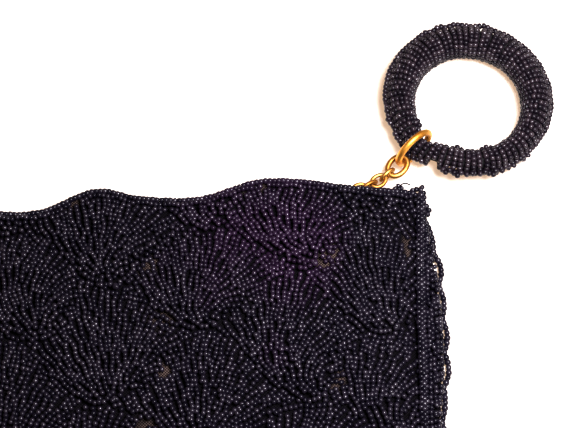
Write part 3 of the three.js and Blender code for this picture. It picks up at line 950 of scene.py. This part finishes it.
# Mouth edgings
# One string of beads is overcast along the scalloped mouth of each panel and hides the cut edge of
# the cloth. The front one is tied off in a knot near its right end, and its thread stands off there.
EDGING_REACH = {"front": 112.5, "back": 113}
EDGING_WAVER = 0.12
EDGING_WAVER_TURN = 0.9  # radians of that waver in a millimetre
EDGING_SLACK = 0.05
EDGING_SNUG = (1.04, 1.06)  # how much wider and longer the beads are than their room, so that they touch
KNOT = np.array([105.9, 74.6, 6.4])
KNOT_PLACES = np.array([(-1.1, -0.5, 0.2), (0, 0.35, 0.5), (1.2, -0.4, 0.2), (0.1, -1.1, 1.1)])
KNOT_WAYS = np.array([(1.0, 0.8, 0), (1.0, 0, 0.2), (1.0, -0.9, 0), (0.2, 1.0, 0)])
KNOT_BEAD = (2.0, 1.5)
THREAD = 0.56
THREAD_START = np.array([0.6, 0.2, 0.9])  # from the knot
THREAD_REACH = (3.6, 0.8, 0.3)  # how far it runs, bows and climbs
THREAD_STEPS = 14
THREAD_SIDES = 6


def edging(side, middle_height):
    """The string of beads along one panel's mouth."""
    x = np.arange(-EDGING_REACH[side], EDGING_REACH[side], ROW_STEP)
    y = mouth_at(x) - EDGING / 2
    z = middle_height(x) + EDGING_WAVER * np.sin(x * EDGING_WAVER_TURN)
    places, ways = walk(np.stack([x, y, z], 1), BEAD_PITCH, EDGING_SLACK)
    width, length = EDGING * EDGING_SNUG[0], BEAD_PITCH * EDGING_SNUG[1]
    string_beads(f"{side}_edging_beads", f"{side}_top_edging", places, ways, UP, width, length)


def front_edge_height(x):
    """The middle of the front edging, level with the top of the front panel's beads."""
    return front_height(x, panel_top(x)) - EDGING / 2


def back_edge_height(x):
    """The middle of the back edging, halfway up the back panel."""
    return np.full_like(x, WALL / 2)


def tube_faces(rings, sides, closed):
    """Faces between rings of points along a tube, with flat ends unless it closes on itself."""
    faces = []
    for k in range(rings if closed else rings - 1):
        start, after = k * sides, (k + 1) % rings * sides
        for j in range(sides):
            i = (j + 1) % sides
            faces.append([start + i, start + j, after + j, after + i])
    if not closed:
        last = (rings - 1) * sides
        faces.append(list(range(sides)))
        faces.append([last + j for j in range(sides)][::-1])
    return faces


def round_wire(path, thick, sides, closed=False):
    """A round wire along a path that lies in one plane: its points and faces."""
    path = np.asarray(path, float)
    if closed:
        way = np.roll(path, -1, axis=0) - np.roll(path, 1, axis=0)
    else:
        way = np.gradient(path, axis=0)
    way /= np.linalg.norm(way, axis=1, keepdims=True)
    flat = np.linalg.svd(path - path.mean(0))[2][2]
    side = np.cross(way, flat)
    side /= np.linalg.norm(side, axis=1, keepdims=True)
    turn = full_turn(sides)[None, :, None]
    around = side[:, None, :] * np.cos(turn) + flat * np.sin(turn)
    points = path[:, None, :] + around * thick / 2
    return points.reshape(-1, 3), tube_faces(len(path), sides, closed)


edging("front", front_edge_height)
edging("back", back_edge_height)
string_beads("mouth_knot_beads", "front_top_edging", KNOT + KNOT_PLACES, KNOT_WAYS, UP, *KNOT_BEAD)

thread_share = np.linspace(0, 1, THREAD_STEPS)
thread_bow = np.sin(math.pi * thread_share)
thread_path = np.column_stack([thread_share, thread_bow, thread_share]) * THREAD_REACH + KNOT + THREAD_START
stray_thread = make_mesh("stray_thread", *round_wire(thread_path, THREAD, THREAD_SIDES))
dress(stray_thread, black_cloth, "front_top_edging")


# Zip
# A black tape with small gold teeth closes the mouth a little inside the edgings. It is sewn to
# both cloths, and its slider carries a long wire loop for the chain.
ZIP_Y = 61.6
ZIP_END = 101
TAPE = 1.2
TAPE_CLEAR = 0.5  # under the front cloth
TAPE_BELLY = 0.35  # how far the tape's middle stands out
TAPE_STEPS = 120
TAPE_LEVELS = 7
WORN_GOLD = {"bright": (0.48, 0.265, 0.075), "brown": (0.24, 0.09, 0.013)}
GOLD_DULLNESS = 0.34
GOLD_RELIEF = 0.00008  # metres


def gold_metal(name, bright, brown):
    """Gold-coloured metal: bright in some patches, browner in others where the plating has thinned."""
    material, place = new_material(name)
    worn = place.noise(240, 4)
    fine = place.noise(1500, 2)
    thinning = {"stops": [(0.417, (*bright, 1)), (0.75, (*brown, 1))]}
    return finish_material(
        material,
        Base_Color=place.node("ShaderNodeValToRGB", thinning, {"Fac": worn}),
        Roughness=GOLD_DULLNESS + worn * 0.16 + fine * 0.08,
        Normal=(fine + worn * 2.0).bump(0.25, GOLD_RELIEF),
        Metallic=1.0,
    )


gold = gold_metal("worn_gold", **WORN_GOLD)

tape_x = np.linspace(-ZIP_END, ZIP_END, TAPE_STEPS)
tape_low = WALL + GAP
tape_high = front_height(tape_x, ZIP_Y + 2 * TAPE) - WALL - TAPE_CLEAR
tape_points = []
for x, high in zip(tape_x, tape_high):
    for share in np.linspace(0, 1, TAPE_LEVELS):
        belly = TAPE_BELLY * math.sin(math.pi * share)
        tape_points.append((x, ZIP_Y + TAPE - TAPE_BELLY + belly, tape_low + (high - tape_low) * share))
    for share in np.linspace(1, 0, TAPE_LEVELS):
        tape_points.append((x, ZIP_Y, tape_low + (high - tape_low) * share))
zip_tape = make_mesh("zip_tape_cloth", tape_points, tube_faces(TAPE_STEPS, 2 * TAPE_LEVELS, False))
dress(zip_tape, black_cloth, "zip_tape")


TOOTH = (1.0, 1.3, 1.15)
TOOTH_PITCH = 1.6
TOOTH_STAGGER = 0.32  # above and below the zip's middle, in turn
TOOTH_STAND = 0.5  # out of the tape
TEETH_SHORT = 2  # how far the teeth end before the tape
BLOCK_CORNER = 0.6  # how much of a block's edge is left between its cut corners
TOOTH_SHRINK = 0.72  # the share of a block's width at its top and bottom


def rounded_block(size, shrink):
    """A small block with its corners cut, as points and faces round the origin."""
    quarter = [(1, BLOCK_CORNER), (BLOCK_CORNER, 1), (-BLOCK_CORNER, 1), (-1, BLOCK_CORNER)]
    outline = quarter + [(-x, -y) for x, y in quarter]
    levels = [(-0.5, shrink), (-0.3, 1), (0.3, 1), (0.5, shrink)]
    points = [(x * scale / 2, y * scale / 2, z) for z, scale in levels for x, y in outline]
    sides = len(outline)
    last = (len(levels) - 1) * sides
    faces = []
    for start in range(0, last, sides):
        for k in range(sides):
            a, b = start + k, start + (k + 1) % sides
            faces.append([a, b, b + sides, a + sides])
    faces.append(list(range(sides))[::-1])
    faces.append(list(range(last, last + sides)))
    return np.array(points) * size, faces


def shifted(faces, first):
    """The same faces where the corner numbers start later."""
    return [[corner + first for corner in face] for face in faces]


tooth_x = np.arange(-ZIP_END + TEETH_SHORT, ZIP_END - TEETH_SHORT, TOOTH_PITCH / 2)
tooth_middle = (np.interp(tooth_x, tape_x, tape_high) + tape_low) / 2
tooth_side = np.where(np.arange(len(tooth_x)) % 2, TOOTH_STAGGER, -TOOTH_STAGGER)
tooth_y = np.full_like(tooth_x, ZIP_Y + TAPE + TOOTH_STAND)
tooth_places = np.stack([tooth_x, tooth_y, tooth_middle + tooth_side], 1)
tooth_points, tooth_faces = rounded_block(TOOTH, TOOTH_SHRINK)
teeth_points = (tooth_places[:, None, :] + tooth_points[None]).reshape(-1, 3)
teeth_faces = []
for k in range(len(tooth_places)):
    teeth_faces += shifted(tooth_faces, k * len(tooth_points))
zip_teeth = make_mesh("zip_teeth", teeth_points, teeth_faces)
dress(zip_teeth, gold, "zip_tape")

SLIDER = (7, 2.7, 3.7)
SLIDER_SHRINK = 0.86
LOOP_WIRE = 1.0
LOOP_RADIUS = 1.6
LOOP_FOOT = 1.4  # how deep in the slider the loop starts
LOOP_LEG_STEPS = 8
LOOP_BEND_STEPS = 17
LOOP_SIDES = 12

slider_low, slider_high = (np.array(corner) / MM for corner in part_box("zip_slider"))
slider_x, _, slider_z = (slider_low + slider_high) / 2
slider_y = slider_low[1]
loop_bend = slider_high[1] - LOOP_WIRE / 2 - LOOP_RADIUS
loop_turn = np.linspace(-np.pi / 2, np.pi / 2, LOOP_BEND_STEPS)[1:-1]
loop_leg = np.linspace(slider_y + LOOP_FOOT, loop_bend, LOOP_LEG_STEPS)
loop_rise = np.full(LOOP_LEG_STEPS, LOOP_RADIUS)
loop_y = np.r_[loop_leg, loop_bend + LOOP_RADIUS * np.cos(loop_turn), loop_leg[::-1]]
loop_z = slider_z + np.r_[-loop_rise, LOOP_RADIUS * np.sin(loop_turn), loop_rise]
loop_path = np.column_stack([np.full(len(loop_y), slider_x), loop_y, loop_z])
loop_points, loop_faces = round_wire(loop_path, LOOP_WIRE, LOOP_SIDES)
body_points, body_faces = rounded_block(SLIDER, SLIDER_SHRINK)
body_points = body_points + (slider_x, slider_y + SLIDER[1] / 2, slider_z)
slider_points = np.vstack([loop_points, body_points])
slider_faces = loop_faces + shifted(body_faces, len(loop_points))
zip_slider = make_mesh("zip_slider_gold", slider_points, slider_faces)
dress(zip_slider, gold, "zip_slider")


# Chain
# A short gold cable chain of oval wire links joins the slider's loop to the jump ring. The first
# link is heavier, and each link is turned a quarter from the one before.
BIG_LINK = {"length": 10.6, "width": 8.2, "wire": 2.1}
SMALL_LINK = {"length": 7.4, "width": 5.7, "wire": 1.55}
LINK_WAYS = [(225, -7.2), (217, -7.1), (213.6, -1.2), (206, 0.5), (203.6, 8.1)]  # heading and rise
LINK_STEPS = 56
LINK_SIDES = 14


def box_middle(node):
    """The middle of a solid, in millimetres."""
    low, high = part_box(node)
    return (np.array(low) + np.array(high)) / 2 / MM


for k, (heading, rise) in enumerate(LINK_WAYS):
    node = f"chain_link_{k + 1}"
    shape = SMALL_LINK if k else BIG_LINK
    turn = full_turn(LINK_STEPS)
    long = (shape["length"] - shape["wire"]) / 2
    wide = (shape["width"] - shape["wire"]) / 2
    path = np.stack([long * np.cos(turn), wide * np.sin(turn), 0 * turn], 1)
    link_points, link_faces = round_wire(path, shape["wire"], LINK_SIDES, True)
    stand = Matrix.Rotation(math.radians(heading), 3, "Z")
    stand = stand @ Matrix.Rotation(-math.radians(rise), 3, "Y")
    stand = stand @ Matrix.Rotation(k % 2 * math.pi / 2, 3, "X")
    link = make_mesh(f"{node}_gold", link_points @ np.array(stand).T + box_middle(node), link_faces)
    dress(link, gold, node)


# Jump ring
# One heavy gold wire ring holds the first link and goes round the finger ring, standing on edge.
# Its gold is a lighter copy of the chain's, as painted light: the ring stands up toward the lamp.
JUMP_WIRE = 2.5
JUMP_OUTER = box_height("jump_ring")
JUMP_HEADING = math.radians(218)
JUMP_STEPS = 88
JUMP_SIDES = 18
# A lighter copy of the chain's gold: painted light on the ring that stands up toward the lamp.
JUMP_RING_LIT_GOLD = {"bright": (0.80, 0.44, 0.10), "brown": (0.50, 0.20, 0.025)}

jump_turn = full_turn(JUMP_STEPS)
jump_radius = (JUMP_OUTER - JUMP_WIRE) / 2
jump_flat = jump_radius * np.cos(jump_turn)
jump_x = jump_flat * math.cos(JUMP_HEADING)
jump_y = jump_flat * math.sin(JUMP_HEADING)
jump_path = np.column_stack([jump_x, jump_y, jump_radius * np.sin(jump_turn)]) + box_middle("jump_ring")
jump_ring = make_mesh("jump_ring_gold", *round_wire(jump_path, JUMP_WIRE, JUMP_SIDES, True))
dress(jump_ring, gold_metal("jump_ring_lit_gold", **JUMP_RING_LIT_GOLD), "jump_ring")


# Finger ring
# A stiff core is bound with black thread and wound crosswise with strings of jet beads. Loose strings
# run round the rim, where the windings spread apart, with small loops that stand off, and beside the
# jump ring a stretch of the core is worn bare.
RING_MIDDLE = np.array([134.7, 108.2, 7.52])
RING_RADIUS = 25.7
RING_TILT = math.radians(1.03)
RING_ANGLE = [-139, -118, -75, -45, -15, 60, 140, 184, 201, 221]  # degrees, once round from the chain
RING_TUBE = [4.2, 4.9, 5, 5.4, 6.4, 7, 7, 6.2, 5.2, 4.2]
CHAIN_ANGLE = math.radians(RING_ANGLE[-1])
RING_PINCH = 2.1  # how much farther out the middle of its thickness lies at the chain
PINCH_REACH = 20  # degrees to either side
RING_RIM = 1.2  # the outer part of the solid that holds the loose rim strings
RIM_FADE = 1.5  # how much thicker than its thinnest the ring is where the rim is full

ring_tube_at = through(RING_ANGLE, RING_TUBE)
chain_way = np.array([math.cos(CHAIN_ANGLE), math.sin(CHAIN_ANGLE), 0.0])


def ring_place(angle, around, depth):
    """A place on the wound ring, and the way out of its surface there. Angles are in radians."""
    first, last = RING_ANGLE[0], RING_ANGLE[-1]
    degrees = (np.degrees(angle) - first) % 360 + first
    from_chain = np.minimum(np.abs(degrees - first), np.abs(degrees - last))
    pinch = eased(np.clip(1 - from_chain / PINCH_REACH, 0, 1))
    tube = ring_tube_at(degrees)
    rim = RING_RIM * np.clip((tube - RING_TUBE[0]) / RIM_FADE, 0, 1)
    radius = RING_RADIUS + RING_PINCH * pinch - rim / 2
    reach = tube - rim / 2 - depth
    spoke = np.stack([np.cos(angle), np.sin(angle), 0 * angle], -1)
    out = spoke * np.cos(around)[..., None] + UP[0] * np.sin(around)[..., None]
    place = spoke * radius[..., None] + out * reach[..., None]
    place = place + UP[0] * ((place @ chain_way) * math.sin(RING_TILT))[..., None]
    return place + RING_MIDDLE, out


def wound_thread():
    """Black thread wound round the core: fine ribs across it, with a painted sheen on their crests."""
    material, place = new_material("black_thread")
    x, y, _ = place.axes()
    angle = place.maths("ARCTAN2", y - RING_MIDDLE[1] * MM, x - RING_MIDDLE[0] * MM)
    stray = place.noise(300, 3)
    ribs = (angle * 300 + stray * 4.0).sine() * 0.5 + 0.5
    # Painted sheen: the rib crests are made lighter than the black thread.
    painted_sheen = (ribs * stray * 1.6).limited(0, 1)
    return finish_material(
        material,
        Base_Color=painted_sheen.mix((0.0008, 0.0008, 0.001, 1), (0.022, 0.019, 0.022, 1)),
        Roughness=0.6 + stray * 0.3,
        Normal=(ribs + stray).bump(0.8, 0.0002),
        Specular_IOR_Level=0.2,
    )


RING_BEAD = 2.3
RING_BEAD_LENGTH = 1.568
RING_PITCH = 1.6
RIM_PITCH = 1.65
RING_SLACK = 0.04
CORE_DEPTH = 0.75  # of a bead's width, how deep the core lies
CORE_STEPS = 120
CORE_SIDES = 28

core_angle, core_around = np.meshgrid(full_turn(CORE_STEPS), full_turn(CORE_SIDES), indexing="ij")
core_points, _ = ring_place(core_angle, core_around, RING_BEAD * CORE_DEPTH)
core_faces = tube_faces(CORE_STEPS, CORE_SIDES, True)
ring_core = make_mesh("finger_ring_core", core_points.reshape(-1, 3), core_faces)
dress(ring_core, wound_thread(), "finger_ring")

ring_strings = []


def string_on_ring(angles, arounds, lift, pitch):
    """One string of beads over the ring's surface, along a line given by its two angles."""
    line, out = ring_place(angles, arounds, RING_BEAD / 2 - lift)
    spots, ways = walk(line, pitch, RING_SLACK)
    nearest = np.linspace(0, len(line) - 1, len(spots)).astype(int)
    ring_strings.append((spots, ways, out[nearest]))


WINDINGS = 74
WINDING_STEPS = 120
WINDING_STRAY = 0.06  # of the step from winding to winding
WINDING_START = 0.25  # radians
WINDING_SWAY = 0.012
WINDING_LIFT = 0.12
BARE_CORE = (235, 242)  # degrees round the ring
BARE_WINDING = (0.4, 5.1)  # radians, the part of a winding that is left there

for k in range(WINDINGS):
    base = 2 * math.pi * (k + rng.uniform(-WINDING_STRAY, WINDING_STRAY)) / WINDINGS
    bare = BARE_CORE[0] < math.degrees(base) < BARE_CORE[1]
    start, stop = BARE_WINDING if bare else (-math.pi, math.pi)
    steps = np.linspace(start, stop, WINDING_STEPS) + rng.uniform(0, WINDING_START)
    sway = rng.uniform(-WINDING_SWAY, WINDING_SWAY)
    lift = rng.uniform(-WINDING_LIFT, WINDING_LIFT)
    string_on_ring(base + sway * np.sin(steps), steps, lift, RING_PITCH)

RIM_STRINGS = [(0.02, 0.42), (-0.45, 0.0)]  # radians up from the middle plane, and their sway
RIM_STEPS = 900
RIM_WANDER = 0.05
RIM_LIFT = 0.8
RIM_LIFT_CHANGE = 0.15
RIM_LOOPS = [73, 94, 105, 116, 193, 205]  # degrees, where the upper rim string stands off
RIM_LOOP_LIFT = 0.75
RIM_LOOP_REACH = 3.4  # degrees

rim_turns = np.radians(np.linspace(BARE_CORE[1], BARE_CORE[0] + 360, RIM_STEPS))
for string_up, string_sway in RIM_STRINGS:
    wander = RIM_WANDER * np.sin(rim_turns * 19 + 9 * string_up) * np.sin(rim_turns * 5 + 1)
    lift = RIM_LIFT + RIM_LIFT_CHANGE * np.sin(rim_turns * 11 + string_up) ** 2
    if string_sway:
        for loop in RIM_LOOPS:
            away = np.degrees(rim_turns) - loop - 360
            lift = lift + RIM_LOOP_LIFT * np.exp(-((away / RIM_LOOP_REACH) ** 2))
    string_on_ring(rim_turns, string_up + string_sway * np.sin(rim_turns) + wander, lift, RIM_PITCH)

HANGING_LOOPS = [249, 257, 265, 274, 281, 287, 296, 309]  # degrees, where short loops of beads hang out
HANGING_LIFT = 1.0
HANGING_REACH = (1.2, 2.0)
HANGING_TILT = (-0.6, 0.0)  # radians up from the middle plane at a loop's start
HANGING_TWIST = 0.25
INNER_LOOPS = [207, 253, 282]  # degrees, where a few beads stand off inside the ring
INNER_REACH = 1.1
INNER_AROUND = math.pi - 0.3
LOOP_SPAN = math.radians(6)
LOOP_STEPS = 30

loop_share = np.linspace(0, 1, LOOP_STEPS)
loop_bow = np.sin(math.pi * loop_share)
for loop in np.radians(HANGING_LOOPS):
    hang = rng.uniform(*HANGING_REACH) * loop_bow
    tilt = rng.uniform(*HANGING_TILT) + HANGING_TWIST * loop_share
    string_on_ring(loop + LOOP_SPAN * (loop_share - 0.5), tilt, HANGING_LIFT + hang, RIM_PITCH)
inner_around = np.full(LOOP_STEPS, INNER_AROUND)
for loop in np.radians(INNER_LOOPS):
    angles = loop + 2 * LOOP_SPAN * (loop_share - 0.5)
    string_on_ring(angles, inner_around, INNER_REACH * loop_bow, RIM_PITCH)

# The ring's beads use a lighter, warmer copy of the jet glass, as painted light, since the ring lies nearer
# the lamp than the panels; the copy is also rougher, with a stronger shine.
lit_ring_jet = jet_glass("lit_ring_jet_glass", lightness=1.3, warmth=1.2, dullness=0.3, shine=1.3)
ring_laid = [np.vstack(parts) for parts in zip(*ring_strings)]
string_beads(
    "finger_ring_beads", "finger_ring", *ring_laid, RING_BEAD, RING_BEAD_LENGTH, glass=lit_ring_jet
)


# Floor and light
# The clutch lies on a plain white surface, which glows as painted light so that it stays white, and
# glows warm tan close round the clutch, where it colours the shadows. One soft lamp stands high at
# the lower right, in a dim warm room.
FLOOR_MIDDLE = (0.06, 0.04, 0)
FLOOR_REACH = 30000
LAMP_PLACE = Vector((0.205, 0.0, 0.37))
LAMP_TARGET = Vector((0.12, 0.06, 0))
LAMP_SIZE = 0.19
LAMP_POWER = 5.7
LAMP_COLOUR = (0.97, 0.95, 1.0)
ROOM_COLOUR = (1.0, 0.80, 0.62, 1)
ROOM_STRENGTH = 0.42
PICTURE_GAMMA = 0.8


def pale_floor():
    """Plain white, with its own glow as painted light: warm tan near the clutch, in its shadows, and white
    farther out.
    """
    material, place = new_material("pale_floor")
    grain = place.noise(30, 3)
    # Painted light: the glow is warm tan near the clutch, where it colours the shadows, and white farther
    # out.
    farther = (place.distance(FLOOR_MIDDLE) * 6 - 1.2).limited(0, 1)
    warm = grain.mix((0.60, 0.43, 0.30, 1), (0.64, 0.46, 0.33, 1))
    return finish_material(
        material,
        Base_Color=grain.mix((0.50, 0.50, 0.49, 1), (0.54, 0.54, 0.54, 1)),
        Roughness=0.9,
        Emission_Color=farther.mix(warm, (1.0, 0.98, 0.95, 1)),
        Emission_Strength=1.0,
    )


floor_corners = [(FLOOR_REACH * x, FLOOR_REACH * y, 0) for x, y in ((-1, -1), (1, -1), (1, 1), (-1, 1))]
floor = make_mesh("floor", floor_corners, [[0, 1, 2, 3]])
floor.data.materials.append(pale_floor())

lamp_data = bpy.data.lights.new("soft_lamp", "AREA")
lamp_data.shape = "DISK"
lamp_data.size = LAMP_SIZE
lamp_data.energy = LAMP_POWER
lamp_data.color = LAMP_COLOUR
lamp = bpy.data.objects.new("soft_lamp", lamp_data)
bpy.context.collection.objects.link(lamp)
lamp.location = LAMP_PLACE
lamp.rotation_euler = (LAMP_TARGET - LAMP_PLACE).to_track_quat("-Z", "Y").to_euler()

world = bpy.data.worlds.new("room")
world.use_nodes = True
world.node_tree.nodes["Background"].inputs["Color"].default_value = ROOM_COLOUR
world.node_tree.nodes["Background"].inputs["Strength"].default_value = ROOM_STRENGTH
bpy.context.scene.world = world
bpy.context.scene.view_settings.view_transform = "Standard"
bpy.context.scene.view_settings.gamma = PICTURE_GAMMA
